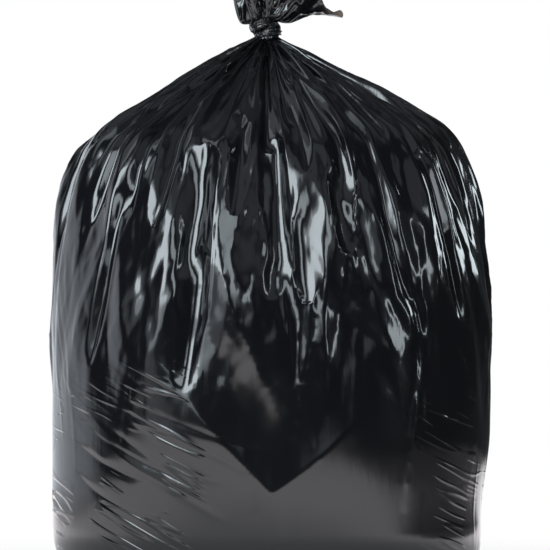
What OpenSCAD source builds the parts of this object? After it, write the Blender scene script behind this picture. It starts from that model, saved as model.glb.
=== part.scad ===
// A full black bin bag, tied shut with a knot in its own neck.
// The film is one piece: base, belly, pleated shoulder, neck, knot and open tail.
// Millimetres. The bag stands on the floor, +Z is up and -Y is the front.

/* [Bag] */
// Width of the full bag from side to side
bag_w = 461; // [400:1:520]
// Depth of the full bag from front to back
bag_d = 424; // [370:1:480]
// Height of the bottom of the knot above the floor
neck_h = 598; // [540:1:700]
// Radius with which the film turns under at the floor
base_round = 88; // [50:1:110]
// Radius with which the side curves in above the belly
belly_round = 200; // [120:1:240]
// Radius of the shoulder
shoulder_round = 70; // [40:1:100]
// Slope at which the belly's curve gives way to the shoulder's, in degrees
shoulder_turn = 60; // [50:1:70]
// Slope of the film from the shoulder up to the neck, in degrees
shoulder_slope = 30.5; // [24:0.5:36]
// Radius with which the slope turns up into the neck
neck_round = 14; // [8:1:24]
// How far the neck stands to the left of the middle
neck_lean = 5; // [0:1:20]
// How far things inside the bag push the film out
lump_depth = 4; // [0:0.5:8]
// How far the lower right side is drawn in
side_tuck = 9; // [0:1:16]
// Height of the fullest part of the front and the back
belly_h = 360; // [280:1:400]
// How far the front and the back go in below their fullest part
belly_sag = 24; // [0:1:30]
// How far the film spreads from the middle of front and back below the shoulder, in degrees
spread = 12; // [0:1:16]
// How much flatter the bag is from front to back at the shoulder, as a share of its width
shoulder_flat = 0.11; // [0:0.01:0.16]
// Depth of the crumples between the shoulder and the belly
crumple_depth = 5; // [0:0.5:8]

/* [Gathers] */
// Depth of the deepest pleat
pleat_depth = 15; // [6:0.5:18]
// Run of the longest pleat down from the neck
pleat_run = 560; // [400:10:700]
// How much higher the film stands between two pleats, as a share of their depth
pleat_crown = 0.4; // [0:0.05:0.6]

/* [Knot] */
// Width of the gathered neck inside the knot
neck_w = 20; // [16:1:28]
// Height of the knot
knot_h = 22; // [18:1:30]
// Thickness of a turn of film in the knot
turn_w = 10; // [8:0.5:13]
// Turns of film that show round the knot
turns = 3; // [2:1:4]
// How steeply the turns climb round the knot, as a share of its height
turn_climb = 0.45; // [0.2:0.05:0.6]

/* [Tail] */
// Height of the tail above the knot
tail_h = 77; // [50:1:95]
// Reach of the tail to the sides
tail_reach = 40; // [30:1:55]
// Reach of the tail to the front and the back
tail_depth = 32; // [26:1:45]
// Reach of the long corner of the tail
corner_reach = 78; // [60:1:100]
// Height of the long corner above the knot, as a share of the tail
corner_lift = 0.22; // [0.15:0.01:0.6]
// Depth of the folds at the lip of the tail
tail_fold = 13; // [5:0.5:14]
// Thickness of the film in the tail, many times the real 0.03
film = 2.4; // [1.6:0.1:3]

/* [Detail] */
// Points across one pleat
pleat_points = 4; // [3:1:4]

/* [Hidden] */

film_black = [0.07, 0.07, 0.08];
half_w = bag_w / 2;
half_d = bag_d / 2;
neck_r = neck_w / 2;
slope_turn = 90 - shoulder_slope;
knot_top = neck_h + knot_h;

// The pleats, as the gathering hand left them, going round from the left of the front:
// [angle of the valley from the front, depth and run as shares of the greatest]
pleat_list = [
    [-51.5, 0.5, 0.6], [-40, 0.6, 0.75], [-27.8, 0.55, 0.7], [-17.5, 1, 1], [-8, 0.5, 0.75],
    [0.5, 0.6, 0.9], [7.7, 0.6, 0.85], [20.4, 0.6, 0.9], [31.5, 0.7, 0.9], [47, 0.6, 0.75],
    [60, 0.5, 0.6], [74, 0.6, 0.55], [88, 0.55, 0.75], [101, 0.65, 0.6], [118, 0.55, 0.9],
    [133, 0.7, 0.65], [149, 0.6, 0.55], [164, 0.8, 0.9], [180, 0.55, 0.65], [196, 0.65, 0.75],
    [211, 0.55, 0.55], [228, 0.75, 0.9], [243, 0.55, 0.65], [256, 0.6, 0.75], [271, 0.55, 0.55],
    [284, 0.65, 0.7], [296, 0.55, 0.55]
];
pleats = len(pleat_list);
columns = pleats * pleat_points;
front = 270;

// The crumples, as the film buckled over what is in it: broken lines laid across the flat film,
// [angle of their steps from level, distance between their corners]
crumple_list = [[-22, 60], [-7, 52], [9, 68], [24, 57], [-45, 90]];
film_round = PI * (bag_w + bag_d) / 2;
back_seam = 70;

// The outline of the film from the floor to the knot, as [radius, height]

neck_tangent = neck_round * tan(slope_turn / 2);

// Points along an arc about [r, z] from angle a to angle b, in n steps
function arc(r, z, radius, a, b, n) =
    [for (i = [0:n]) let (t = a + (b - a) * i / n) [r + radius * cos(t), z + radius * sin(t)]];

// Points strictly between two points, in n steps
function between(p, q, n) = [for (i = [1:n - 1]) p + (q - p) * i / n];

base_arc = arc(half_w - base_round, base_round, base_round, -90, 0, 5);
neck_arc = arc(neck_r + neck_round, neck_h + neck_tangent, neck_round, 180 + slope_turn, 180, 3);

// The shoulder's arc touches the slope, and the belly's arc runs on from it to the side
belly_turn = 90 - shoulder_turn;
shoulder_r = half_w - belly_round * (1 - cos(belly_turn)) - shoulder_round * cos(belly_turn);
shoulder_z = neck_h - (shoulder_r - neck_r) * tan(shoulder_slope)
    - shoulder_round / cos(shoulder_slope);
belly_z = shoulder_z - (belly_round - shoulder_round) * sin(belly_turn);
belly_arc = arc(half_w - belly_round, belly_z, belly_round, 0, belly_turn, 5);
shoulder_arc = arc(shoulder_r, shoulder_z, shoulder_round, belly_turn, slope_turn, 3);

outline = concat(
    base_arc,
    between(base_arc[5], belly_arc[0], 11),
    belly_arc,
    [shoulder_arc[1], shoulder_arc[2], shoulder_arc[3]],
    between(shoulder_arc[3], neck_arc[0], 8),
    neck_arc
);

// Length of film from point i of the outline up to the knot
function film_left(i) =
    i >= len(outline) - 1 ? 0 : norm(outline[i + 1] - outline[i]) + film_left(i + 1);

// How the film departs from the smooth outline

// Angle of valley i from the front, counted on past a full turn
function valley_at(i) = front + pleat_list[i % pleats][0] + 360 * floor(i / pleats);

// 0 below the start and 1 above the end, with a smooth way between
function ramp(value, start, end) =
    let (share = min(1, max(0, (value - start) / (end - start)))) share * share * (3 - 2 * share);

// Angle round the bag of a column of points: evenly spaced between the valleys beside it
function angle_at(c) =
    let (i = floor(c / pleat_points), share = (c % pleat_points) / pleat_points)
    valley_at(i) + (valley_at(i + 1) - valley_at(i)) * share;

// The same column further down, where the film spreads towards the sides
function angle_below(c, z) =
    let (t = angle_at(c)) t - spread * sin(2 * t) * (1 - ramp(z, 0.33 * neck_h, 0.8 * neck_h));

// Depth of a valley, which dies out at the end of its run down from the neck
function valley_depth(i, left) =
    let (pleat = pleat_list[i % pleats])
    pleat_depth * pleat[1] * max(0, 1 - pow(left / (pleat_run * pleat[2]), 1.2));

// A pleat is sharp in its valley, and the film between two valleys is round
function pleat(c, r, left) =
    let (
        i = floor(c / pleat_points),
        share = (c % pleat_points) / pleat_points,
        before = valley_depth(i, left),
        after = valley_depth(i + 1, left),
        crown = pow(sin(180 * share), 0.8)
    )
    min(1, r / (0.5 * half_w))
    * (pleat_crown * crown * (before + after) / 2 - (1 - crown) * (share < 0.5 ? before : after));

// 1 at the middle of a band of heights and 0 outside it
function band(z, middle, half) =
    abs(z - middle) < half ? (1 + cos(180 * (z - middle) / half)) / 2 : 0;

// Things in the bag push it out here and there between floor and shoulder
function lump(t, z) =
    lump_depth * band(z, 0.4 * neck_h, 0.4 * neck_h)
    * (sin(3 * t + 0.35 * z) * 0.6 + sin(5 * t - 0.5 * z + 60) * 0.4);

function tuck(t, z) = side_tuck * pow(max(0, cos(t)), 2) * band(z, 0.16 * neck_h, 0.16 * neck_h);

// Corner k of broken line n, as [place along it, height], unevenly spaced and unevenly high
function corner(n, k) = [
    crumple_list[n][1] * (k + 0.32 * sin(137 * k + 50 * n)),
    (k % 2 == 0 ? 1 : -1) * (0.65 + 0.35 * sin(97 * k + 31 * n))
];

corners = [for (n = [0:len(crumple_list) - 1]) [for (k = [-36:36]) corner(n, k)]];

// Height of broken lines 0 to n together, at a place on the flat film
function broken(width, left, n) =
    n < 0 ? 0
    : lookup(width * cos(crumple_list[n][0]) + left * sin(crumple_list[n][0]), corners[n])
        + broken(width, left, n - 1);

// How loose the film is: taut near the neck and over the lower half, loose between
function looseness(z, left) =
    ramp(z, 0.26 * neck_h, 0.6 * neck_h) * (0.12 + 0.88 * ramp(left, 110, 270)) * min(1, left / 60);

// The loose film is crumpled into flat facets, which meet at the middle of the back
function crumple(c, z, left) =
    let (
        last = len(crumple_list) - 1,
        width = film_round * ((angle_at(c) - 90) % 360) / 360,
        share = ramp(width, film_round - back_seam, film_round)
    )
    crumple_depth / sqrt(last + 1) * looseness(z, left)
    * (broken(width, left, last) * (1 - share) + broken(width - film_round, left, last) * share);

// Depth from front to back, as a share of the width
function flatness(z) = half_d / half_w - shoulder_flat * ramp(z, belly_h - 40, neck_h - 90);

// Below their fullest part the front and the back go in towards the floor
function sag(t, z) = belly_sag * pow(max(0, belly_h - z) / belly_h, 2) * pow(abs(sin(t)), 3);

function lean(z) = -neck_lean * pow(min(1, z / neck_h), 2);

// A point of the bag below the knot, in column c of ring i
function bag_point(c, i, left) =
    let (
        p = outline[i],
        t = angle_below(c, p[1]),
        r = p[0] + pleat(c, p[0], left) + lump(t, p[1]) - tuck(t, p[1]) + crumple(c, p[1], left)
    )
    [lean(p[1]) + r * cos(t), (r - sag(t, p[1])) * sin(t) * flatness(p[1]), p[1]];

bag_rings = [for (i = [0:len(outline) - 1])
    [for (c = [0:columns - 1]) bag_point(c, i, film_left(i))]];

// Middle of the footprint along one axis
function middle_of(axis) =
    let (all = [for (ring = bag_rings, p = ring) p[axis]]) (min(all) + max(all)) / 2;

// The tail: the mouth of the bag above the knot, a loose pleated cup with one long corner

corner_angle = -8;
lobe_angle = 190;

// 1 at an angle, and 0 away from it
function near(t, angle, power) = pow(max(0, cos(t - angle)), power);

function lip_reach(t) =
    let (oval = 1 / sqrt(pow(cos(t) / tail_reach, 2) + pow(sin(t) / tail_depth, 2)))
    oval + (corner_reach - tail_reach) * near(t, corner_angle, 8);

function lip_rise(t) =
    tail_h * (1 - (1 - corner_lift) * near(t, corner_angle, 3))
    * (1 - 0.18 * sin(2 * t + 30) - 0.1 * cos(3 * t));

// The left lobe of the tail flares out sooner than the rest
function flare(t) = 0.9 - 0.5 * near(t, lobe_angle, 2);

// Folds of the tail, unevenly wide and deep, which turn a little as they rise
function fold(t, u) =
    let (uneven = t + 9 * sin(2 * t + 50) + 5 * sin(3 * t))
    tail_fold * pow(u, 0.8) * (0.6 + 0.4 * sin(2 * t))
    * (sin(8 * uneven + 40 * u) + 0.35 * sin(15 * t - 60 * u));

// The inside of the tail lies this way from its outside, inwards and up, for each mm of film
wall_way = [-0.8, 0.6];

// A point of the tail at share u of the way from the knot to the lip
function tail_point(c, u, wall) =
    let (
        t = angle_at(c),
        r = neck_r + (lip_reach(t) - neck_r) * pow(u, flare(t)) + fold(t, u)
            + pleat(c, neck_r, 0) * (1 - u) + wall * wall_way[0]
    )
    [
        lean(neck_h) + r * cos(t),
        r * sin(t),
        knot_top + lip_rise(t) * pow(u, 1.1) + wall * wall_way[1]
    ];

function tail_ring(u, wall) = [for (c = [0:columns - 1]) tail_point(c, u, wall)];

tail_steps = 4;
tail_outer = [for (i = [0:tail_steps]) tail_ring(i / tail_steps, 0)];
tail_inner = [for (i = [tail_steps:-1:1]) tail_ring(i / tail_steps, film)];

// The knot: turns of gathered film that dive in and out of the neck

turn_steps = 10;
turn_sides = 8;
turn_span = 230;

// Middle line of a turn at share u of its length
function turn_path(k, u) =
    let (
        a = 360 * k / turns + turn_span * u + 200,
        r = 0.35 * neck_r + (0.65 * neck_r + 0.3 * turn_w) * pow(sin(180 * u), 0.6),
        side = k % 2 == 0 ? 1 : -1,
        middle = neck_h + knot_h * (0.34 + 0.32 * k / max(1, turns - 1))
    )
    [lean(neck_h) + r * cos(a), r * sin(a), middle + side * knot_h * turn_climb * (u - 0.5)];

// Ribs run along a turn, because it is gathered film
function turn_radius(s, u) =
    turn_w / 2 * (0.75 + 0.25 * sin(180 * u)) * (1 + 0.12 * cos(3 * s * 360 / turn_sides + 200 * u));

function unit(v) = v / norm(v);

function turn_ring(k, u) =
    let (
        here = turn_path(k, u),
        along = unit(turn_path(k, min(1, u + 0.02)) - turn_path(k, max(0, u - 0.02))),
        out = unit(cross(along, [0, 0, 1])),
        up = cross(out, along)
    )
    [for (s = [0:turn_sides - 1])
        let (a = -360 * s / turn_sides)
        here + turn_radius(s, u) * (out * cos(a) + up * sin(a))];

// A closed skin over rings of points, with a fan over each end
module skin(rings) {
    n = len(rings[0]);
    m = len(rings);
    ends = [for (ring = [rings[0], rings[m - 1]])
        [for (axis = [0:2]) ring_sum(ring, axis, n - 1) / n]];
    points = concat([for (ring = rings) each ring], ends);
    sides = [for (i = [0:m - 2], c = [0:n - 1]) let (
        a = i * n + c,
        b = i * n + (c + 1) % n
    ) each [[a, a + n, b], [b, a + n, b + n]]];
    first = [for (c = [0:n - 1]) [m * n, c, (c + 1) % n]];
    last = [for (c = [0:n - 1]) [m * n + 1, (m - 1) * n + (c + 1) % n, (m - 1) * n + c]];
    polyhedron(points, concat(sides, first, last));
}

function ring_sum(ring, axis, i) = i < 0 ? 0 : ring[i][axis] + ring_sum(ring, axis, i - 1);

module film_skin() {
    skin(concat(bag_rings, tail_outer, tail_inner));
}

module knot_turn(k) {
    skin([for (i = [0:turn_steps]) turn_ring(k, i / turn_steps)]);
}

module bin_bag() {
    color(film_black) translate([-middle_of(0), -middle_of(1), 0]) union() {
        film_skin();
        for (k = [0:turns - 1]) knot_turn(k);
    }
}

bin_bag();
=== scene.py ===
# %% [markdown]
# A full black bin bag, tied shut with a knot in its own neck.
# The real bag is one tube of blown polyethylene film, sealed at the bottom, filled, gathered by
# hand and knotted. Nothing on it is stiff, so what the eye reads is how the film wrinkles: long
# pleats run down from the neck, the loose film over the shoulder crumples into upright facets,
# and the lower half is drawn tight over the contents. Lengths of the bag are in millimetres and
# become metres when a mesh is made. The studio round it is laid out in metres.

# %% Load the frame
import math

import bpy
import numpy as np
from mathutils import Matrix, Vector


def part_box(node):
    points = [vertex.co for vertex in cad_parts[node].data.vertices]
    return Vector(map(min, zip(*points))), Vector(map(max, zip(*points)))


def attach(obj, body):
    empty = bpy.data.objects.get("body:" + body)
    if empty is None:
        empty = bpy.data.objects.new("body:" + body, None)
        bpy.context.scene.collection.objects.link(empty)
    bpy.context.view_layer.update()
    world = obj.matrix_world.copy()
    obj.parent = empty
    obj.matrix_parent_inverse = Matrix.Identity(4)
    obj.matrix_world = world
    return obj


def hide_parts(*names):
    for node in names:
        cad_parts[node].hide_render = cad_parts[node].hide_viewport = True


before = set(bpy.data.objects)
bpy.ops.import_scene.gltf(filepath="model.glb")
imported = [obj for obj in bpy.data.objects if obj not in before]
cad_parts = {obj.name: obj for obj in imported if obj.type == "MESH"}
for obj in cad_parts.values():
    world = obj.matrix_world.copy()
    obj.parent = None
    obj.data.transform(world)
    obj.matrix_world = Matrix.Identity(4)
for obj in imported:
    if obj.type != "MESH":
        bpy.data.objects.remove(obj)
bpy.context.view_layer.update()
MM = 0.001
low, high = (np.array(corner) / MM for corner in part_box("bin_bag"))
print("CAD box in mm:", low.round(1), high.round(1))

rng = np.random.default_rng(77)

# %% [markdown]
# The CAD source gives a closed solid of the full bag, which is loaded with the frame. All the film
# that the camera sees is made anew here, because a solid of few faces has no thin gathers and no
# sharp creases. Width and depth are read from the solid's box, so that the film fits it. Most
# other sizes are the source's own. The curve of the sides and the turns of the knot differ from it
# a little, because they were matched once more to how the bag looks.

# %% Sizes
SIDE_SPARE = 3.0  # ridges and lumps stand this far outside the smooth outline
BAG_W = high[0] - low[0] - 2 * SIDE_SPARE
BAG_D = high[1] - low[1] - 2 * SIDE_SPARE
NECK_H = 598.0  # bottom of the knot
NECK_W = 20.0  # gathered neck inside the knot
NECK_LEAN = 5.0  # the neck stands a little to the left
BASE_ROUND = 88.0
SIDE_ROUND = 500.0  # the side eases into the belly's arc
SIDE_TURN = 6.0
BELLY_ROUND = 190.0
SHOULDER_ROUND = 70.0
SHOULDER_TURN = 60.0  # degrees of slope where the belly's arc gives way to the shoulder's
SHOULDER_SLOPE = 30.5
NECK_ROUND = 14.0
print("bag", round(BAG_W), "mm wide,", round(BAG_D), "mm deep, and", round(NECK_H), "mm to the knot")

# %% [markdown]
# The smooth bag first. Its outline is a chain of arcs and straight lines, as a glass blower would
# draw it: the turn at the floor, the side, a slow curve in, a tighter shoulder, and a straight
# slope up to the neck. The wrinkles come later and stay close to this form.

# %% The outline of the film, as radius and height
ARC_STEPS = 24


def arc(centre, radius, start, end, steps=ARC_STEPS):
    """Points on an arc, with its angles in degrees."""
    angle = np.radians(np.linspace(start, end, steps))
    return np.stack([centre[0] + radius * np.cos(angle), centre[1] + radius * np.sin(angle)], 1)


def out(angle):
    """The unit vector at an angle in degrees."""
    return np.array([math.cos(math.radians(angle)), math.sin(math.radians(angle))])


def film_outline():
    """The outline from the floor to the knot."""
    half = BAG_W / 2
    neck = NECK_W / 2
    slope = math.tan(math.radians(SHOULDER_SLOPE))
    belly_from = 90 - SHOULDER_TURN
    shoulder_to = 90 - SHOULDER_SLOPE
    side = arc((half - SIDE_ROUND, 0), SIDE_ROUND, 0, SIDE_TURN)
    belly_middle = side[-1] - BELLY_ROUND * out(SIDE_TURN)
    belly = arc(belly_middle, BELLY_ROUND, SIDE_TURN, belly_from)
    belly = np.concatenate([side, belly[1:]])
    shoulder_middle = belly[-1] - SHOULDER_ROUND * out(belly_from)
    shoulder = arc(shoulder_middle, SHOULDER_ROUND, belly_from, shoulder_to)
    rise = NECK_H + slope * neck - (shoulder[-1][1] + slope * shoulder[-1][0])
    belly[:, 1] += rise
    shoulder[:, 1] += rise
    foot = arc((half - BASE_ROUND, BASE_ROUND), BASE_ROUND, -90, 0)
    turn = NECK_ROUND * math.tan(math.radians(shoulder_to / 2))
    top = arc((neck + NECK_ROUND, NECK_H + turn), NECK_ROUND, 180 + shoulder_to, 180, 8)
    return np.concatenate([foot, belly, shoulder[1:], top])


def resample(line, count):
    """The same line with evenly spaced points, and the length from each point to its end."""
    steps = np.linalg.norm(np.diff(line, axis=0), axis=1)
    run = np.concatenate([[0], np.cumsum(steps)])
    at = np.linspace(0, run[-1], count)
    points = np.stack([np.interp(at, run, line[:, k]) for k in range(line.shape[1])], 1)
    return points, run[-1] - at


outline = film_outline()
print("the side starts to curve in at z", round(outline[ARC_STEPS][1]), "mm")
print("film from floor to knot:", round(resample(outline, 9)[1][0]), "mm")

# %% Heights and angles as smooth shares
def band(z, middle, half):
    """1 in the middle of a band of heights and 0 outside it."""
    return np.where(abs(z - middle) < half, (1 + np.cos(np.pi * (z - middle) / half)) / 2, 0)


def ramp(value, start, end):
    """0 below the start and 1 above the end, with a smooth way between."""
    share = np.clip((value - start) / (end - start), 0, 1)
    return share * share * (3 - 2 * share)


def wave(degrees):
    """The sine of an angle in degrees."""
    return np.sin(np.radians(degrees))


# %% The smooth surface
LUMP_DEPTH = 4.0  # things in the bag push it out here and there
SIDE_TUCK = 9.0  # the lower right side is drawn in
BELLY_H = 360.0  # height of the fullest part of the front
BELLY_SAG = 24.0  # how far the front goes back below it
HANG_FLAT = 0.11  # above the belly the film hangs in a flatter curve from front to back
RIGHT_BULGE = 9.0  # the right shoulder stands higher, with a corner of rubbish under it
NECK_BULGE = 4.0  # close to the neck the slope is a little fuller all round
WAIST = (4.0, 3.5)  # between shoulder and belly the film stays in: all round, and more on the left
SPREAD = 12.0  # degrees by which the film spreads to the sides below the shoulder


def smooth_bag(rows, columns):
    """Points of the smooth bag as an array of [xyz, row, column], with film left and the angle
    at which each column starts from the neck."""
    line, left = resample(outline, rows)
    r, z = line[:, :1], line[:, 1:]
    column = np.linspace(0, 360, columns, endpoint=False)[None, :]
    t = column - SPREAD * wave(2 * column) * (1 - ramp(z, 0.33 * NECK_H, 0.8 * NECK_H))
    lumps = wave(3 * t + 0.35 * z) * 0.6 + wave(5 * t - 0.5 * z + 60) * 0.4
    lumps = LUMP_DEPTH * band(z, 0.4 * NECK_H, 0.4 * NECK_H) * lumps
    tuck = SIDE_TUCK * np.maximum(0, wave(t + 90)) ** 2 * band(z, 0.16 * NECK_H, 0.16 * NECK_H)
    waist = WAIST[0] + WAIST[1] * np.maximum(0, -wave(t + 90)) ** 2
    radius = r + lumps - tuck - waist * band(z, 415, 140)
    depth = BAG_D / BAG_W - HANG_FLAT * ramp(z, BELLY_H - 40, NECK_H - 90)
    bulge = RIGHT_BULGE * band(left[:, None], 190, 120) * np.maximum(0, wave(t + 90)) ** 3
    bulge = bulge + NECK_BULGE * band(left[:, None], 110, 100)
    sag = BELLY_SAG * (np.clip(BELLY_H - z, 0, BELLY_H) / BELLY_H) ** 2
    lean = -NECK_LEAN * np.minimum(1, z / NECK_H) ** 2
    x = lean + radius * wave(t + 90)
    y = (radius - sag * abs(wave(t)) ** 3) * wave(t) * depth
    points = np.stack([x, y, z + bulge]).astype(np.float32)
    return points, left[:, None], column


def outward(points):
    """Unit normals of a grid of points that closes on itself along its columns."""
    along = np.gradient(points, axis=1)
    round_ = np.roll(points, -1, 2) - np.roll(points, 1, 2)
    normal = np.cross(round_, along, axis=0)
    return normal / np.maximum(np.linalg.norm(normal, axis=0), 1e-6)


smooth = smooth_bag(60, 72)[0].reshape(3, -1)
print("smooth bag from", smooth.min(1).round(), "to", smooth.max(1).round(), "mm")

# %% [markdown]
# The hand that gathered the mouth left long folds that run down from the neck. The large ones on
# the front have a place that the eye knows, so each has an angle, a depth, a width and a length of
# its own, and the ones round the back go on in the same way. They only dent the film before it
# settles. What they look like in the end is up to the film.

# %% Folds that the gathering hand left, placed one by one on the front
#         angle from the front, depth, width, run down from the neck
FOLDS = [
    (-51.5, 7, 12, 330), (-40, 9, 11, 420), (-27.8, 11, 9, 380), (-17.5, 18, 9, 560),
    (-8, 8, 9, 420), (0.5, 9, 8, 520), (7.7, 9, 8, 480), (20.4, 10, 8, 520),
    (31.5, 10, 9, 520), (47, 11, 10, 420), (60, 8, 12, 330),
    (74, 9, 11, 300), (88, 8, 12, 420), (101, 10, 11, 330), (118, 8, 12, 500),
    (133, 11, 11, 360), (149, 9, 12, 300), (164, 12, 11, 520), (180, 8, 12, 360),
    (196, 10, 11, 420), (211, 8, 12, 300), (228, 11, 11, 500), (243, 8, 12, 360),
    (256, 9, 11, 420), (271, 8, 12, 300), (284, 10, 11, 380), (296, 8, 12, 300),
]


def fold_offset(points, left, column):
    """How far the folds move the film in or out before the simulation."""
    radius = np.hypot(points[0], points[1])
    offset = np.zeros(radius.shape)
    for angle, depth, width, run in FOLDS:
        wander = 1.6 * wave(0.9 * left + 7 * angle) * np.minimum(1, left / 150)
        away = (column - 270 - angle + wander + 180) % 360 - 180
        size = np.minimum(1, radius / 110)
        narrow = 1 - 0.6 * np.minimum(1, left / run)
        arc_away = abs(np.radians(away) * radius) / (width * size * narrow)
        fade = np.clip(1 - (left / run) ** 1.2, 0, 1) * np.clip(left / 25, 0, 1)
        shape = 0.35 * np.exp(-((arc_away - 2.2) / 1.1) ** 2) - np.exp(-arc_away ** 1.3)
        offset += depth * size * fade * shape
    return offset


print(len(FOLDS), "folds, from", min(fold[3] for fold in FOLDS), "mm long")

# %% [markdown]
# Below the shoulder the film has buckled over what is in the bag, into flat facets that meet at
# sharp corners. Noise would give round lumps instead. So the facets come from zigzags: each runs
# along one direction of the film as it lies flat, and a few directions added up cut the film into
# facets of uneven size and slope. The large ones are in the CAD solid too, from the same values.

# %% Crumples, as flat facets between sharp corners
FILM_ROUND = 1390.0  # the film's width all the way round, when it lies flat
BACK_SEAM = 70.0  # over this width at the back the end of the pattern is blended into its start
PATTERN_REACH = 1800  # how far the broken lines go each way, so that they cover the whole film
#          depth, and direction and distance between corners of each broken line
BIG_FACETS = (5.0, [(-22, 60), (-7, 52), (9, 68), (24, 57), (-45, 90)])
SMALL_FACETS = [(5.5, [(-17, 44), (-3, 36), (13, 50)]),
                (0.3, [(-30, 9), (-8, 12), (12, 8), (40, 11)])]


def broken_line(n, size):
    """Corners of a broken line, unevenly spaced and unevenly high."""
    k = np.arange(-PATTERN_REACH // size, PATTERN_REACH // size + 1)
    place = size * (k + 0.32 * wave(137 * k + 50 * n))
    return place, np.where(k % 2 == 0, 1, -1) * (0.65 + 0.35 * wave(97 * k + 31 * n))


def crumples(left, column, depth, lines):
    """Broken lines in several directions, added up: flat facets with straight edges. They are
    laid out on the flat film, so they fan out from the neck as the film does."""
    width = (column - 90) % 360 / 360 * FILM_ROUND
    share = ramp(width, FILM_ROUND - BACK_SEAM, FILM_ROUND)
    total = 0
    for n, (way, size) in enumerate(lines):
        c, d = wave(way + 90), wave(way)
        place, height = broken_line(n, size)
        total = total + np.interp(width * c + left * d, place, height) * (1 - share)
        total = total + np.interp((width - FILM_ROUND) * c + left * d, place, height) * share
    return depth / math.sqrt(len(lines)) * total


def looseness(z, left):
    """How loose the film is: taut near the neck and over the lower half, loose between."""
    fan = 0.12 + 0.88 * ramp(left, 110, 270)
    return ramp(z, 0.3 * NECK_H, 0.5 * NECK_H) * fan * np.minimum(1, left / 60)


def drawn_tight(points):
    """Where the lower left side is drawn tight: 1 there and 0 elsewhere."""
    front = np.degrees(np.arctan2(points[0], -points[1]))
    return band(front, -75, 32) * (1 - ramp(points[2], 300, 420))


for facet_depth, facet_lines in [BIG_FACETS] + SMALL_FACETS:
    print("facets", [size for _, size in facet_lines], "mm apart,", facet_depth, "mm deep")

# %% [markdown]
# Next to the knot the whole width of the bag is squeezed into a bundle as thick as a thumb, so
# all of it lies in narrow pleats. They are narrower than the grid below can fold by itself, and so
# they are laid on as zigzags round the neck that fade on their way down the shoulder.

# %% Gathers, the narrow pleats that radiate from the neck
#          depth, degrees between corners, length of film over which they fade
GATHERS = [(3.6, 6, 280), (2.2, 2.6, 200)]


def gathers(left, column):
    """How far the narrow pleats stand out, with two sizes of them added up."""
    total = 0
    for depth, step, run in GATHERS:
        count = round(360 / step / 2) * 2
        corners = np.concatenate([[0], np.sort(rng.uniform(0, 360, count - 1)), [360]])
        corners = 0.5 * corners + 0.5 * np.linspace(0, 360, count + 1)
        heights = rng.uniform(0.3, 1.0, count + 1) * (-1.0) ** np.arange(count + 1)
        heights[-1] = heights[0]
        at = column + 1.2 * step * wave(0.55 * left + 3 * column) * np.minimum(1, left / 150)
        lines = np.interp(at % 360, corners, heights)
        total = total + depth * lines * np.exp(-(left / run) ** 2) * np.minimum(1, left / 40)
    return total


print("gathers round the neck:", [round(360 / step) for _, step, _ in GATHERS])

# %% [markdown]
# The folds are simulated, because film has a rule that is hard to fake: it hardly stretches, so
# spare width has to go somewhere, and it goes into folds. The film is a grid of points held apart
# by edges, which are longer than the smooth surface allows. Each pass moves every pair of points
# to its right distance, a little pressure keeps the film out, and the contents keep it from
# falling in. Bends that are already sharp resist less, as a crease in real film does. The grid
# starts coarse, for the big folds, and is doubled twice for the small ones. Blender's own cloth
# could do this too. A few lines of numpy are quicker here, and give the same film each time.

# %% The film solver: distances and bends
UPRIGHT = 4.0  # the film bends less readily along its height, which the gathering pulls taut
CREASE = 0.08  # as a share of the grid's spacing: film bent by more than about 30 degrees


def pull(a, b, rest, stiffness):
    """Moves two arrays of points towards their rest distance from each other."""
    gap = b - a
    length = np.sqrt((gap * gap).sum(0)) + 1e-6
    gap *= stiffness * 0.5 * (length - rest) / length
    a += gap
    b -= gap


def straighten(p, axis, stiffness, crease):
    """Bends the film back towards straight along one axis, less where it is already a crease."""
    if axis == 2:
        bow = (np.roll(p, 1, 2) + np.roll(p, -1, 2)) / 2 - p
    else:
        bow = np.zeros_like(p)
        bow[:, 1:-1] = (p[:, :-2] + p[:, 2:]) / 2 - p[:, 1:-1]
    bow *= stiffness / (1 + (bow * bow).sum(0) / crease ** 2)
    if axis == 2:
        p += bow - (np.roll(bow, 1, 2) + np.roll(bow, -1, 2)) / 2
    else:
        p += bow
        p[:, :-2] -= bow[:, 1:-1] / 2
        p[:, 2:] -= bow[:, 1:-1] / 2


# %% The film solver: one pass over all the edges
def sweep(p, rest, bend):
    """Pulls each edge once: round the bag, along it, and both ways slantwise. Every second edge is
    moved at once, because two edges that share a point have to be moved one after the other."""
    wide, tall, slant_one, slant_two = rest
    pull(p[:, :, 0::2], p[:, :, 1::2], wide[:, 0::2], 1.0)
    q = np.roll(p, -1, 2)
    pull(q[:, :, 0::2], q[:, :, 1::2], np.roll(wide, -1, 1)[:, 0::2], 1.0)
    p[:] = np.roll(q, 1, 2)
    for start in (0, 1):
        n = (p.shape[1] - start) // 2 * 2
        upper, lower = p[:, start:start + n:2], p[:, start + 1:start + n:2]
        pull(upper, lower, tall[start:start + n:2], 1.0)
        across = np.roll(lower, -1, 2)
        pull(upper, across, slant_one[start:start + n:2], 0.5)
        lower[:] = np.roll(across, 1, 2)
        across = np.roll(lower, 1, 2)
        pull(upper, across, slant_two[start:start + n:2], 0.5)
        lower[:] = np.roll(across, -1, 2)
    straighten(p, 2, bend, CREASE * wide)
    straighten(p, 1, UPRIGHT * bend, CREASE * float(tall.mean()))


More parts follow.
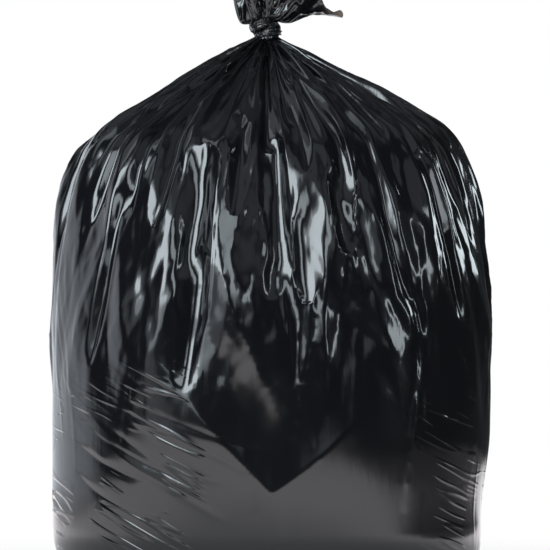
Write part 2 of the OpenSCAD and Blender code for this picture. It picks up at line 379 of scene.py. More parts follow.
def rest_lengths(home, spare_round, spare_along, skew):
    """Edge lengths of the film: those of the smooth surface, with spare length added."""
    across = np.roll(home, -1, 2) - home
    up = home[:, 1:] - home[:, :-1]
    wide = np.linalg.norm(across, axis=0)
    tall = np.linalg.norm(up, axis=0)
    slant = (across[:, :-1] * up).sum(0) / np.maximum(wide[:-1] * tall, 1e-6)
    wide = wide * (1 + spare_round)
    tall = tall * (1 + spare_along[:-1])
    side = (wide[:-1] + wide[1:]) / 2
    square = side ** 2 + tall ** 2
    lean = 2 * side * tall * (slant + skew[:-1])
    slant_one = np.sqrt(square + lean)
    slant_two = np.sqrt(square - np.roll(lean, 1, 1))
    return [lengths.astype(np.float32) for lengths in (wide, tall, slant_one, slant_two)]


# %% The film solver: settling
GLIDE = 0.92  # share of its speed that a point keeps
DRIFT_BACK = 0.01  # share of its sideways drift that a point loses at each step


def relax(p, home, normal, rest, room, steps, bend, press, held=(0, -1)):
    """Lets the film settle. The rows that are held stay where they are."""
    held = list(held)
    fixed = p[:, held].copy()
    last = p.copy()
    for _ in range(steps):
        moved = p - last
        last = p.copy()
        p += GLIDE * moved + press * normal
        for _ in range(2):
            sweep(p, rest, bend)
            away = ((p - home) * normal).sum(0)
            p += (np.clip(away, room[0], room[1]) - away) * normal
            p[:, held] = fixed
        p += DRIFT_BACK * (home - p - ((home - p) * normal).sum(0) * normal)
    return p


def doubled(offset):
    """A grid of offsets with twice the columns and rows."""
    wide = np.repeat(offset, 2, 2)
    wide[:, :, 1::2] = (offset + np.roll(offset, -1, 2)) / 2
    tall = np.repeat(wide, 2, 1)[:, :-1]
    tall[:, 1::2] = (wide[:, 1:] + wide[:, :-1]) / 2
    return tall


# %% Where the film has length to spare
NECK_SPARE = 0.45  # share of spare width close to the neck
LOOSE_SPARE = 0.10  # and over the shoulder and the belly
TIGHT_SPARE = 0.006  # and everywhere
CRUMPLE = (0.02, 0.008)  # share of spare width and of spare height where the film is crumpled
CRUMPLE_ROOM = 4.0  # how far crumples reach into the bag
FOLD_ROOM = 13.0  # and how far the folds do, where the film is loose
LOW_SKEW = 0.008  # low on the left the film was dragged sideways


def zones(points, left):
    """Spare width, spare height, skew, and how far the film may move in and out, over the bag."""
    x, y, z = points
    radius = np.hypot(x, y)
    front = np.degrees(np.arctan2(x, -y))
    near_neck = np.exp(-(left / 95) ** 1.2)
    loose = 1 / (1 + np.exp((left - 310) / 40))
    crumpled = band(z, 350, 170) * (band(front, -18, 75) + 0.7 * band(abs(front), 180, 85))
    spare_round = NECK_SPARE * near_neck + LOOSE_SPARE * loose + TIGHT_SPARE + CRUMPLE[0] * crumpled
    spare_along = CRUMPLE[1] * crumpled + 0.001
    skew = LOW_SKEW * (band(z, 140, 170) * band(front, -25, 75))
    depth = FOLD_ROOM * loose + CRUMPLE_ROOM * crumpled + band(z, 320, 200) + 0.8
    depth = np.minimum(depth, 0.35 * radius)
    return spare_round, spare_along, skew, (-depth, 0.2 * depth)


# %% Let the film settle, from a coarse grid to a fine one
LEVELS = 3
ROWS, COLUMNS = 105, 140  # of the coarse grid
#       on the coarse grid, the finer and the finest one
STEPS = (40, 24, 12)
BEND = (0.03, 0.05, 0.06)  # how much the film resists a bend
JITTER = (0.6, 0.2, 0.05)  # how far points start off their place, so that folds can begin
SPARE_SHARE = (0.75, 0.9, 1.0)
SKEW_SHARE = (0.0, 0.5, 1.0)
PRESSURE = 0.003  # mm outwards at each step


def settle_film():
    """The settled film from the floor to the knot, with crumples and gathers added."""
    offset = None
    rows, columns = ROWS, COLUMNS
    for level in range(LEVELS):
        home, left, column = smooth_bag(rows, columns)
        normal = outward(home)
        spare_round, spare_along, skew, room = zones(home, left)
        share = SPARE_SHARE[level]
        skew = SKEW_SHARE[level] * skew
        rest = rest_lengths(home, share * spare_round, share * spare_along, skew)
        if offset is None:
            offset = fold_offset(home, left, column) * normal
        else:
            offset = doubled(offset)
        jitter = rng.normal(0, JITTER[level], home.shape[1:])
        jitter *= np.clip(-room[0] / 8, 0, 1) * (left > 12)
        p = home + offset + jitter * normal
        p[:, 0] = home[:, 0]
        p[:, -1] = home[:, -1]
        p = p.astype(np.float32)
        normal = normal.astype(np.float32)
        p = relax(p, home, normal, rest, room, STEPS[level], BEND[level], PRESSURE)
        offset = p - home
        if level == LEVELS - 1:
            facets = sum(crumples(left, column, *facet) for facet in [BIG_FACETS] + SMALL_FACETS)
            loose = looseness(home[2], left) * (1 - 0.7 * drawn_tight(home))
            p = p + (facets * loose + gathers(left, column)) * normal
        print("film grid", rows, "x", columns, "moved", round(float(abs(offset).mean()), 2), "mm")
        rows, columns = 2 * rows - 1, 2 * columns
    return p


film = settle_film()

# %% [markdown]
# Film that was bent sharply, or dragged over a corner, keeps thin straight creases, and each one
# catches the light as a bright line. They are moved into the mesh, because a crease that is only
# painted on as bump leaves the surface round it flat. Each group has its own place on the bag, its
# own direction and its own size, and the seeded generator sets them out.

# %% Creases
CREASE_W = (2.2, 3.6)  # any thinner, and the grid would show in them as steps
CREASE_BOW = 3.0  # how far a crease is out of straight
#          angle from the front, height, direction, length, height of the crease, how many
CREASES = [
    ((-48, 55), (190, 500), (74, 106), (60, 260), (0.5, 1.5), 60),  # upright, where it is loose
    ((-60, -15), (60, 240), (-36, -18), (50, 150), (0.3, 0.8), 16),  # drawn down to the right
    ((-0.5, 0.5), (185, 200), (88, 92), (110, 130), (-0.6, -0.5), 1),  # above the low fold
    ((-88, -60), (200, 420), (-85, -70), (60, 160), (0.3, 0.8), 14),
    ((35, 88), (60, 400), (50, 110), (40, 140), (0.2, 0.7), 24),
    ((95, 265), (30, 420), (-50, 50), (40, 150), (0.3, 0.8), 80),
    ((-180, 180), (0, 30), (70, 110), (30, 60), (0.4, 1.0), 110),  # short ones at the floor
]


def crease_lines(points):
    """Thin straight creases, drawn with a ruler on the film as it lies unrolled."""
    x, y, z = points
    front = np.degrees(np.arctan2(x, -y))
    lift = np.zeros(z.shape)
    for fronts, heights, ways, lengths, sizes, count in CREASES:
        for _ in range(count):
            spans = (fronts, heights, ways, lengths, sizes)
            at, up, way, length, size = (rng.uniform(*span) for span in spans)
            s = np.radians((front - at + 180) % 360 - 180) * (BAG_W + BAG_D) / 4
            c, d = math.cos(math.radians(way)), math.sin(math.radians(way))
            along = (s * c + (z - up) * d) / (length / 2)
            off = -s * d + (z - up) * c + CREASE_BOW * along ** 2 * rng.uniform(-1, 1)
            width = rng.uniform(*CREASE_W)
            way_out = rng.choice((-1, 1)) if size > 0 else 1
            lift += way_out * size * np.exp(-abs(off) / width) * np.clip(1 - along ** 2, 0, 1)
    return lift


# %% The low fold on the front, which hangs down to a point
POINT = (1.0, 132.0)  # x and height
EDGE_SLOPES = (1.0, 0.7)  # how steeply its left and its right edge rise from the point
EDGE_CURVE = 0.0015
HOLLOW = 7.5  # how far the film goes in, well above the edges
HOLLOW_EASE = 65.0  # and the height over which it does so


def low_fold(points):
    """How far the film goes in above the two edges that meet at the point."""
    x, y, z = points
    across = x - POINT[0]
    edge = np.where(across < 0, *EDGE_SLOPES) * abs(across) + EDGE_CURVE * across ** 2
    above = z - POINT[1] - edge
    depth = HOLLOW * (1 - np.exp(-np.maximum(above, 0) / HOLLOW_EASE))
    return -depth * (1 - ramp(z, 300, 600)) * (1 - ramp(abs(across), 70, 120)) * (y < 0)


creased = crease_lines(film)
folded = low_fold(film)
print("creases up to", round(float(abs(creased).max()), 1), "mm high")
print("the low fold goes in by", round(float(-folded.min()), 1), "mm")
film = film + (creased + folded) * outward(film)

# %% [markdown]
# The film so far is an open tube. Under the bag it is gathered in to the middle, and at the top it
# runs on through the knot as a tight bundle of pleats. Both ends are more rows of the same grid,
# so there is no seam where they start.

# %% Close the film under the bag and inside the knot
KNOT_H = 22.0
KNOT_TOP = NECK_H + KNOT_H
BASE_FOLD = 1.4  # height of the folds under the bag
FLOOR_GAP = 0.1  # the floor holds the film up


def closed_film(film):
    """The tube of film with a base under it and a bundle of pleats on top."""
    turn = np.linspace(0, 360, film.shape[2], endpoint=False)[None, :]
    share = np.linspace(0.02, 1, 40, endpoint=False)[:, None]
    rim = film[:, 0]
    middle = rim.mean(1)[:, None, None]
    base = middle * (1 - share) + rim[:, None] * share
    folds = abs(wave(9.5 * turn + 40 * share)) + 0.6 * abs(wave(23 * turn - 70 * share))
    base[2] += BASE_FOLD * folds * share * (1 - share) * 4
    rise = np.linspace(0, 1, 24)[1:, None]
    top = film[:, -1][:, None]
    pleats = 1 - 0.13 * abs(wave(13.5 * turn + 60 * rise)) ** 0.6 - 0.08 * abs(wave(31 * turn))
    pleats = 1 + (pleats - 1) * np.minimum(1, 4 * rise)
    neck = np.stack([-NECK_LEAN + (top[0] + NECK_LEAN) * pleats, top[1] * pleats,
                     top[2] + (KNOT_TOP + 2 - NECK_H) * rise + 0 * pleats])
    points = np.concatenate([base, film, neck], 1)
    points[2] = np.maximum(points[2], FLOOR_GAP)
    return points.astype(np.float32)


film = closed_film(film)
print("the bag's film:", film.shape[1], "rows of", film.shape[2], "points")

# %% [markdown]
# The film is polyethylene with carbon black in it, blown as a thin bubble and cooled by air. No
# mould touches it, so both faces come out glossy: the eye gets a deep black with sharp, nearly
# white reflections. One principled shader with a low roughness gives that. What breaks up the
# reflections is bump: faint upright streaks, which the die leaves in the bubble, and patches of
# thin creases low on the bag, where the film is drawn tight. Both patterns read Object
# coordinates, so they stay put on the film whatever its mesh looks like.

# %% Colours, and one function that adds a node
def linear(hex_colour):
    """An sRGB hex colour as linear values."""
    values = [int(hex_colour[i:i + 2], 16) / 255 for i in (1, 3, 5)]
    return [v / 12.92 if v <= 0.04045 else ((v + 0.055) / 1.055) ** 2.4 for v in values] + [1]


def add(tree, kind, settings=None, links=None):
    """Adds a node to a tree, with its settings and what each of its inputs is linked from."""
    node = tree.nodes.new(kind)
    for name, value in (settings or {}).items():
        if isinstance(name, str) and hasattr(node, name):
            setattr(node, name, value)
        else:
            node.inputs[name].default_value = value
    for name, source in (links or {}).items():
        tree.links.new(source, node.inputs[name])
    return node


# %% The pattern of thin creases
def thin_creases(tree, place, slope, length, gap, width):
    """Height of thin straight creases: the lines where a stretched noise crosses its middle."""
    turned = add(tree, "ShaderNodeVectorRotate", {"rotation_type": "Y_AXIS",
                 "Angle": math.radians(slope)}, {"Vector": place.outputs["Object"]})
    drawn = add(tree, "ShaderNodeMapping", {"Scale": (1 / (length * MM), 1 / (length * MM),
                1 / (gap * MM))}, {"Vector": turned.outputs["Vector"]})
    noise = add(tree, "ShaderNodeTexNoise", {"Scale": 1.0, "Detail": 1.0},
                {"Vector": drawn.outputs["Vector"]})
    middle = add(tree, "ShaderNodeMath", {"operation": "SUBTRACT", 1: 0.5},
                 {0: noise.outputs["Fac"]})
    off = add(tree, "ShaderNodeMath", {"operation": "ABSOLUTE"}, {0: middle.outputs["Value"]})
    return add(tree, "ShaderNodeMapRange", {"From Min": 0.0, "From Max": width / gap,
               "To Min": 1.0, "To Max": 0.0, "interpolation_type": "SMOOTHSTEP"},
               {"Value": off.outputs["Value"]}).outputs["Result"]


# %% Where the thin creases are
PATCH = 70.0  # size of the patches


def film_patches(tree, place):
    """Where the lower half has thin creases: in patches, and not low on the front's middle."""
    axes = add(tree, "ShaderNodeSeparateXYZ", links={"Vector": place.outputs["Object"]})
    low = add(tree, "ShaderNodeMapRange", {"From Min": 200 * MM, "From Max": 280 * MM,
              "To Min": 1.0, "To Max": 0.0, "interpolation_type": "SMOOTHSTEP"},
              {"Value": axes.outputs["Z"]})
    shifted = add(tree, "ShaderNodeMath", {"operation": "SUBTRACT", 1: 40 * MM},
                  {0: axes.outputs["X"]})
    aside = add(tree, "ShaderNodeMath", {"operation": "ABSOLUTE"}, {0: shifted.outputs["Value"]})
    beside = add(tree, "ShaderNodeMapRange", {"From Min": 100 * MM, "From Max": 120 * MM,
                 "interpolation_type": "SMOOTHSTEP"}, {"Value": aside.outputs["Value"]})
    right = add(tree, "ShaderNodeMapRange", {"From Min": 100 * MM, "From Max": 160 * MM,
                "To Min": 1.0, "To Max": 0.35, "interpolation_type": "SMOOTHSTEP"},
                {"Value": axes.outputs["X"]})
    cloud = add(tree, "ShaderNodeTexNoise", {"Scale": 1 / (PATCH * MM), "Detail": 1.0},
                {"Vector": place.outputs["Object"]})
    patch = add(tree, "ShaderNodeMapRange", {"From Min": 0.42, "From Max": 0.55,
                "interpolation_type": "SMOOTHSTEP"}, {"Value": cloud.outputs["Fac"]})
    first = add(tree, "ShaderNodeMath", {"operation": "MULTIPLY"},
                {0: low.outputs["Result"], 1: beside.outputs["Result"]})
    second = add(tree, "ShaderNodeMath", {"operation": "MULTIPLY"},
                 {0: first.outputs["Value"], 1: right.outputs["Result"]})
    return add(tree, "ShaderNodeMath", {"operation": "MULTIPLY"},
               {0: second.outputs["Value"], 1: patch.outputs["Result"]}).outputs["Value"]


# %% The film's material
BLACK = "#08090c"
PAINTED_BACKLIGHT = "#6e6259"  # painted light: the pale of one layer of film with light behind it
FILM_ROUGHNESS = 0.12  # glossy, but not quite like glass
FILM_IOR = 1.6  # polyethylene has 1.51, and the bag reflects a little more than that
STREAK_W = 7.0  # real die lines are finer, and are drawn this coarse so that they show
STREAK_STRETCH = 0.12  # they are about eight times as long as they are wide
BUMP_H = 0.5
CREASE_SLOPE = -27.0  # degrees from level, down to the right
CREASE_LENGTH = 130.0
CREASE_GAP = 15.0
CREASE_LINE = 1.0
TIP = (50.0, 78.0)  # from here to here the tail's corner is painted paler, for light coming through it
TIP_BASE = 605.0  # below this height nothing does


def black_film():
    """Black film, with the end of the tail's corner painted pale, for light that comes through it.
    """
    material = bpy.data.materials.new("black_polyethylene_film")
    material.use_nodes = True
    tree = material.node_tree
    tree.nodes.clear()
    place = add(tree, "ShaderNodeTexCoord")
    upright = add(tree, "ShaderNodeMapping", {"Scale": (1, 1, STREAK_STRETCH)},
                  {"Vector": place.outputs["Object"]})
    streaks = add(tree, "ShaderNodeTexNoise", {"Scale": 1 / (STREAK_W * MM), "Detail": 3.0},
                  {"Vector": upright.outputs["Vector"]})
    lines = thin_creases(tree, place, CREASE_SLOPE, CREASE_LENGTH, CREASE_GAP, CREASE_LINE)
    masked = add(tree, "ShaderNodeMath", {"operation": "MULTIPLY"},
                 {0: lines, 1: film_patches(tree, place)})
    creased = add(tree, "ShaderNodeBump", {"Strength": 1.0, "Distance": BUMP_H * MM},
                  {"Height": masked.outputs["Value"]})
    bumped = add(tree, "ShaderNodeBump", {"Strength": 0.25, "Distance": BUMP_H * MM},
                 {"Height": streaks.outputs["Fac"], "Normal": creased.outputs["Normal"]})
    axes = add(tree, "ShaderNodeSeparateXYZ", links={"Vector": place.outputs["Object"]})
    # painted light: the tail's corner gets a paler base colour, as if lit from behind
    tip = add(tree, "ShaderNodeMapRange", {"From Min": TIP[0] * MM, "From Max": TIP[1] * MM,
              "interpolation_type": "SMOOTHSTEP"}, {"Value": axes.outputs["X"]})
    above = add(tree, "ShaderNodeMath", {"operation": "GREATER_THAN", 1: TIP_BASE * MM},
                {0: axes.outputs["Z"]})
    backlit_paint = add(tree, "ShaderNodeMath", {"operation": "MULTIPLY"},
                 {0: tip.outputs["Result"], 1: above.outputs["Value"]})
    colour = add(tree, "ShaderNodeMix", {"data_type": "RGBA"})
    colour.inputs["A"].default_value = linear(BLACK)
    colour.inputs["B"].default_value = linear(PAINTED_BACKLIGHT)
    tree.links.new(backlit_paint.outputs["Value"], colour.inputs["Factor"])
    gloss = add(tree, "ShaderNodeBsdfPrincipled", {"Roughness": FILM_ROUGHNESS, "IOR": FILM_IOR},
                {"Normal": bumped.outputs["Normal"]})
    tree.links.new(colour.outputs["Result"], gloss.inputs["Base Color"])
    add(tree, "ShaderNodeOutputMaterial", links={"Surface": gloss.outputs["BSDF"]})
    return material


FILM = black_film()
print(FILM.name, "has", len(FILM.node_tree.nodes), "nodes")

# %% [markdown]
# Both pieces of film are grids that close on themselves, so one function makes their meshes. It
# writes points and faces straight from the arrays, which is quick even for the bag's 270,000
# faces. The film is unwrapped as a flat rectangle, as it came off the roll, into a UV map named
# OFBake.

# %% Meshes from grids
def grid_object(name, points, material, capped=True):
    """A mesh from an array of [xyz, row, column] in mm that closes on itself round its columns.
    Capped, its first and last row are closed with a fan."""
    _, rows, columns = points.shape
    verts = points.reshape(3, -1).T
    here = np.arange(columns)
    beside = (here + 1) % columns
    row = np.arange(rows - 1)[:, None] * columns
    quads = np.stack([row + here, row + beside, row + beside + columns, row + here + columns], -1)
    u = np.stack([here, here + 1, here + 1, here], -1)[None] / columns
    v = (np.arange(rows - 1)[:, None, None] + np.array([0, 0, 1, 1])) / (rows - 1)
    corners = [quads.ravel()]
    places = [np.stack(np.broadcast_arrays(u, v), -1).reshape(-1, 2)]
    sizes = [np.full(quads.shape[0] * columns, 4)]
    if capped:
        first, last = len(verts), len(verts) + 1
        verts = np.concatenate([verts, points[:, 0].mean(1)[None], points[:, -1].mean(1)[None]])
        start = (rows - 1) * columns
        for fan, v_end in (((0 * here + first, beside, here), 0.0),
                           ((start + here, start + beside, 0 * here + last), 1.0)):
            corners.append(np.stack(fan, -1).ravel())
            across = np.stack([here, here + 1, here + 0.5], -1) / columns
            places.append(np.stack([across, 0 * across + v_end], -1).reshape(-1, 2))
            sizes.append(np.full(columns, 3))
    corners, places, sizes = (np.concatenate(part) for part in (corners, places, sizes))
    mesh = bpy.data.meshes.new(name)
    mesh.vertices.add(len(verts))
    mesh.vertices.foreach_set("co", (verts * MM).astype(np.float32).ravel())
    mesh.loops.add(len(corners))
    mesh.loops.foreach_set("vertex_index", corners.astype(np.int32))
    mesh.polygons.add(len(sizes))
    starts = np.concatenate([[0], np.cumsum(sizes)[:-1]]).astype(np.int32)
    mesh.polygons.foreach_set("loop_start", starts)
    mesh.polygons.foreach_set("use_smooth", np.ones(len(sizes), bool))
    mesh.update(calc_edges=True)
    unwrapped = mesh.uv_layers.new(name="OFBake")
    unwrapped.data.foreach_set("uv", places.astype(np.float32).ravel())
    mesh.validate()
    mesh.materials.append(material)
    piece = bpy.data.objects.new(name, mesh)
    bpy.context.scene.collection.objects.link(piece)
    print(name, len(mesh.polygons), "faces")
    return piece


# %% [markdown]
# Above the knot the mouth of the bag is left over: a loose pleated cup, with one long corner that
# hangs out to the right and a short lobe on the left. It is made as the bag is. First comes a
# smooth form with large pleats, and then the same solver gives it the small folds of film that has
# length to spare. Real film is 0.03 mm thick. The tail gets 0.5 mm, so that its edge can be seen.

# %% The tail
NECK_R = NECK_W / 2
TAIL_H = 77.0
TAIL_REACH = 40.0  # to the sides
TAIL_DEPTH = 32.0  # to the front and the back
CORNER_REACH = 78.0
CORNER_LIFT = 0.22  # how high the long corner is, as a share of the tail's height
CORNER_ANGLE = -8.0  # from the right, + to the back
LOBE_ANGLE = 190.0
TAIL_FOLD = 13.0  # depth of the pleats
TAIL_SPARE = (0.12, 0.07)  # share of spare width: more of it at the knot, and some all over
TAIL_ROOM = 5.0  # how far the rim may move in and out as it settles
TAIL_JITTER = (1.0, 0.25)  # on the coarse grid and the fine one
FILM_WALL = 0.5


def near(t, angle, power):
    """1 at one angle round the tail and 0 away from it. A higher power is narrower."""
    return np.maximum(0, wave(t - angle + 90)) ** power


def bump(u, middle, half):
    """1 in the middle and 0 further away than the half, smooth."""
    return (1 - np.clip(abs(u - middle) / half, 0, 1) ** 2) ** 2


def smooth_tail(rows, columns):
    """The mouth of the bag above the knot: a loose pleated cup with one long corner."""
    t = np.linspace(0, 360, columns, endpoint=False)[None, :]
    u = np.linspace(0, 1, rows)[:, None]
    oval = 1 / np.sqrt((wave(t + 90) / TAIL_REACH) ** 2 + (wave(t) / TAIL_DEPTH) ** 2)
    reach = oval + (CORNER_REACH - TAIL_REACH) * near(t, CORNER_ANGLE, 8)
    rise = TAIL_H * (1 - (1 - CORNER_LIFT) * near(t, CORNER_ANGLE, 3))
    rise = rise * (1 - 0.18 * wave(2 * t + 30) - 0.1 * wave(3 * t + 90))
    flare = 0.9 - 0.6 * near(t, LOBE_ANGLE, 2)
    warp = t + 9 * wave(2 * t + 50) + 5 * wave(3 * t)
    folds = wave(8 * warp + 40 * u) + 0.35 * wave(15 * t - 60 * u)
    pleats = TAIL_FOLD * u ** 0.8 * folds * (0.6 + 0.4 * wave(2 * t))
    radius = NECK_R + (reach - NECK_R) * u ** flare + pleats
    x = -NECK_LEAN + radius * wave(t + 90)
    y = radius * wave(t)
    corner = near(t, CORNER_ANGLE, 3)
    lobe = near(t, LOBE_ANGLE, 2)
    z = KNOT_TOP - 3 + rise * u ** 1.1 - 5 * corner * bump(u, 0.2, 0.3)
    z = z - 12 * u ** 3 * near(t, CORNER_ANGLE, 12)
    z = z - 10 * lobe * bump(u, 0.12, 0.2)
    return np.stack([x, y, z + 0 * x]).astype(np.float32), u, t


def settle_tail():
    """The settled tail, which is held where it comes out of the knot."""
    offset = None
    rows, columns = 31, 140
    for level in range(2):
        home, u, t = smooth_tail(rows, columns)
        normal = outward(home)
        spare = TAIL_SPARE[0] * (1 - u) + TAIL_SPARE[1] + 0 * t
        rest = rest_lengths(home, spare, 0.02 + 0 * spare, 0 * spare)
        offset = np.zeros_like(home) if offset is None else doubled(offset)
        jitter = rng.normal(0, TAIL_JITTER[level], home.shape[1:])
        p = home + offset + jitter * normal * (u > 0)
        p = p.astype(np.float32)
        normal = normal.astype(np.float32)
        room = (-TAIL_ROOM * u - 0.2, TAIL_ROOM * u + 0.2)
        p = relax(p, home, normal, rest, room, steps=80, bend=0.01, press=0.0, held=(0,))
        offset = p - home
        rows, columns = 2 * rows - 1, 2 * columns
    print("tail reaches x", round(float(p[0].max()), 1), "and z", round(float(p[2].max()), 1), "mm")
    return p


# %% [markdown]
# The knot is three turns of gathered film. Each turn is swept along its own path with a star as
# its section, because gathered film shows its pleats as ribs, and the ribs twist as they go round.
# Noise along the surface then breaks the ribs up, as the pull of the knot does.

# %% The path of each turn of the knot
TURN_W = 12.0  # thickness of the gathered film
TURNS = 3
TURN_SPAN = 230.0  # how far a turn goes round, in degrees
TURN_CLIMB = 0.55  # how much it climbs, as a share of the knot's height


def turn_path(k, steps=60):
    """The middle line of one turn, which starts and ends inside the neck."""
    u = np.linspace(0, 1, steps)
    a = 360 * k / TURNS + TURN_SPAN * u + 200
    swell = np.maximum(wave(180 * u), 0)
    r = 0.35 * NECK_R + (0.65 * NECK_R + 0.18 * TURN_W) * swell ** 0.6
    side = 1 if k % 2 == 0 else -1
    middle = NECK_H + KNOT_H * (0.2 + 0.34 * k / (TURNS - 1))
    z = middle + side * KNOT_H * TURN_CLIMB * (u - 0.5)
    return np.stack([-NECK_LEAN + r * wave(a + 90), r * wave(a), z], 1)


# %% Geometry nodes for gathered film that is swept along a path
WRINKLE_SIZE = 5.0


def gathered_strand():
    """A node tree that sweeps a ribbed section along a path, twists it and wrinkles it."""
    tree = bpy.data.node_groups.new("gathered_strand", "GeometryNodeTree")
    face = tree.interface
    face.new_socket("Path", in_out="INPUT", socket_type="NodeSocketGeometry")
    for name, kind in (("Thickness", "Float"), ("Ribs", "Int"), ("Rib depth", "Float"),
                       ("Twist", "Float"), ("Wrinkle", "Float"), ("Seed", "Float"),
                       ("Material", "Material")):
        face.new_socket(name, in_out="INPUT", socket_type="NodeSocket" + kind)
    face.new_socket("Strand", in_out="OUTPUT", socket_type="NodeSocketGeometry")
    given = tree.nodes.new("NodeGroupInput").outputs
    line = add(tree, "GeometryNodeMeshToCurve", links={"Mesh": given["Path"]})
    even = add(tree, "GeometryNodeResampleCurve", {"Count": 110}, {"Curve": line.outputs["Curve"]})
    along = add(tree, "GeometryNodeSplineParameter")
    arc_share = add(tree, "ShaderNodeMath", {"operation": "MULTIPLY", 1: math.pi},
                    {0: along.outputs["Factor"]})
    swell = add(tree, "ShaderNodeMath", {"operation": "SINE"}, {0: arc_share.outputs["Value"]})
    share = add(tree, "ShaderNodeMapRange", {"To Min": 0.36, "To Max": 0.52},
                {"Value": swell.outputs["Value"]})
    radius = add(tree, "ShaderNodeMath", {"operation": "MULTIPLY"},
                 {0: share.outputs["Result"], 1: given["Thickness"]})
    turned = add(tree, "ShaderNodeMath", {"operation": "MULTIPLY"},
                 {0: along.outputs["Factor"], 1: given["Twist"]})
    twisted = add(tree, "GeometryNodeSetCurveTilt",
                  links={"Curve": even.outputs["Curve"], "Tilt": turned.outputs["Value"]})
    inner = add(tree, "ShaderNodeMath", {"operation": "SUBTRACT", 0: 1.0}, {1: given["Rib depth"]})
    star = add(tree, "GeometryNodeCurveStar", {"Outer Radius": 1.0},
               {"Points": given["Ribs"], "Inner Radius": inner.outputs["Value"]})
    section = add(tree, "GeometryNodeResampleCurve", {"Count": 66},
                  {"Curve": star.outputs["Curve"]})
    swept = add(tree, "GeometryNodeCurveToMesh", {"Fill Caps": True},
                {"Curve": twisted.outputs["Curve"], "Profile Curve": section.outputs["Curve"],
                 "Scale": radius.outputs["Value"]})
    noise = add(tree, "ShaderNodeTexNoise", {"noise_dimensions": "4D",
                "Scale": 1 / (WRINKLE_SIZE * MM), "Detail": 2.0}, {"W": given["Seed"]})
    middle = add(tree, "ShaderNodeMath", {"operation": "SUBTRACT", 1: 0.5},
                 {0: noise.outputs["Fac"]})
    depth = add(tree, "ShaderNodeMath", {"operation": "MULTIPLY"},
                {0: middle.outputs["Value"], 1: given["Wrinkle"]})
    normal = add(tree, "GeometryNodeInputNormal")
    push = add(tree, "ShaderNodeVectorMath", {"operation": "SCALE"},
               {"Vector": normal.outputs["Normal"], "Scale": depth.outputs["Value"]})
    wrinkled = add(tree, "GeometryNodeSetPosition",
                   links={"Geometry": swept.outputs["Mesh"], "Offset": push.outputs["Vector"]})
    smooth = add(tree, "GeometryNodeSetShadeSmooth",
                 links={"Geometry": wrinkled.outputs["Geometry"]})
    real = add(tree, "GeometryNodeRealizeInstances",
               links={"Geometry": smooth.outputs["Geometry"]})
    dressed = add(tree, "GeometryNodeSetMaterial",
                  links={"Geometry": real.outputs["Geometry"], "Material": given["Material"]})
    result = tree.nodes.new("NodeGroupOutput")
    tree.links.new(dressed.outputs["Geometry"], result.inputs["Strand"])
    return tree


# %% From a path to a plain mesh
def swept_piece(name, path, tree, settings):
    """A piece made by a geometry node tree from a path in mm, baked to a plain mesh."""
    mesh = bpy.data.meshes.new(name)
    edges = [(i, i + 1) for i in range(len(path) - 1)]
    mesh.from_pydata([tuple(point) for point in path * MM], edges, [])
    piece = bpy.data.objects.new(name, mesh)
    bpy.context.scene.collection.objects.link(piece)
    modifier = piece.modifiers.new("strand", "NODES")
    modifier.node_group = tree
    for item in tree.interface.items_tree:
        if item.in_out == "INPUT" and item.name in settings:
            modifier[item.identifier] = settings[item.name]
    shaped = piece.evaluated_get(bpy.context.evaluated_depsgraph_get())
    baked = bpy.data.meshes.new_from_object(shaped)
    piece.modifiers.clear()
    piece.data = baked
    baked.name = name
    print(name, len(baked.polygons), "faces")
    return piece


# %% [markdown]
# Now the pieces are made. The bag's film, the tail and the three turns all stand for the one solid
# of the CAD source, since on the real bag they are one piece of film.

# %% The pieces
body = grid_object("film_body", film, FILM)
tail = grid_object("film_tail", settle_tail(), FILM, capped=False)
wall = tail.modifiers.new("wall", "SOLIDIFY")
wall.thickness = FILM_WALL * MM
strand = gathered_strand()
turns = []
for k in range(TURNS):
    settings = {"Thickness": TURN_W * MM, "Ribs": 9 + 2 * k, "Rib depth": 0.3,
                "Twist": 2.5 - 1.3 * k, "Wrinkle": 3.2 * MM, "Seed": 4.0 + k, "Material": FILM}
    turns.append(swept_piece(f"knot_turn_{k + 1}", turn_path(k), strand, settings))
for piece in [body, tail] + turns:
    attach(piece, "root")
    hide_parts("bin_bag")

# %% [markdown]
# Glossy black film has hardly any look of its own. What the eye sees on it is the room, so the
# light is planned as a set of things to be reflected. A soft box on the left fills the facets that
# face it, narrow ones on the right draw thin bright rims, and a dim room with a few paler walls
# keeps the rest from going dead. For the camera itself everything behind the bag is plain white,
# as in a picture that was cut out.

# %% The room that the film reflects
scene = bpy.context.scene
scene.view_settings.view_transform = "Standard"
ROOM_LEVEL = 0.045  # radiance of the darkest part of the room
ROOM_TINT = (0.86, 0.92, 1.0, 1)  # grey walls in daylight
DIFFUSE_LEVEL = 0.5  # what lights the floor from all round
#          direction, cosine where it starts and where it is full, sine of its top, radiance
PANELS = [
    ((-0.60, 0.80, 0.0), 0.60, 0.82, 0.45, 1.0),  # white backdrop behind and to the left
    ((-0.80, -0.60, 0.05), 0.93, 0.99, 0.60, 0.68),  # pale wall beside the camera on the left
    ((0.86, -0.45, 0.25), 0.90, 0.98, 0.90, 0.08),  # dim wall on the right
    ((0.0, 0.20, 0.98), 0.80, 0.97, 2.0, 0.10),  # ceiling
    ((-0.587, -0.70, 0.407), 0.86, 0.99, 2.0, 0.9),  # wall that the key light spills on
    ((0.20, -0.95, 0.25), 0.97, 0.99, 2.0, 0.5),  # paler patches of the room behind the camera
    ((0.55, -0.55, 0.62), 0.93, 0.98, 2.0, 0.3),
    ((-0.10, -0.55, 0.83), 0.92, 0.98, 2.0, 0.4),
    ((-0.60, 0.15, 0.78), 0.92, 0.98, 2.0, 0.5),
    ((0.35, 0.45, 0.82), 0.93, 0.98, 2.0, 0.12),
]


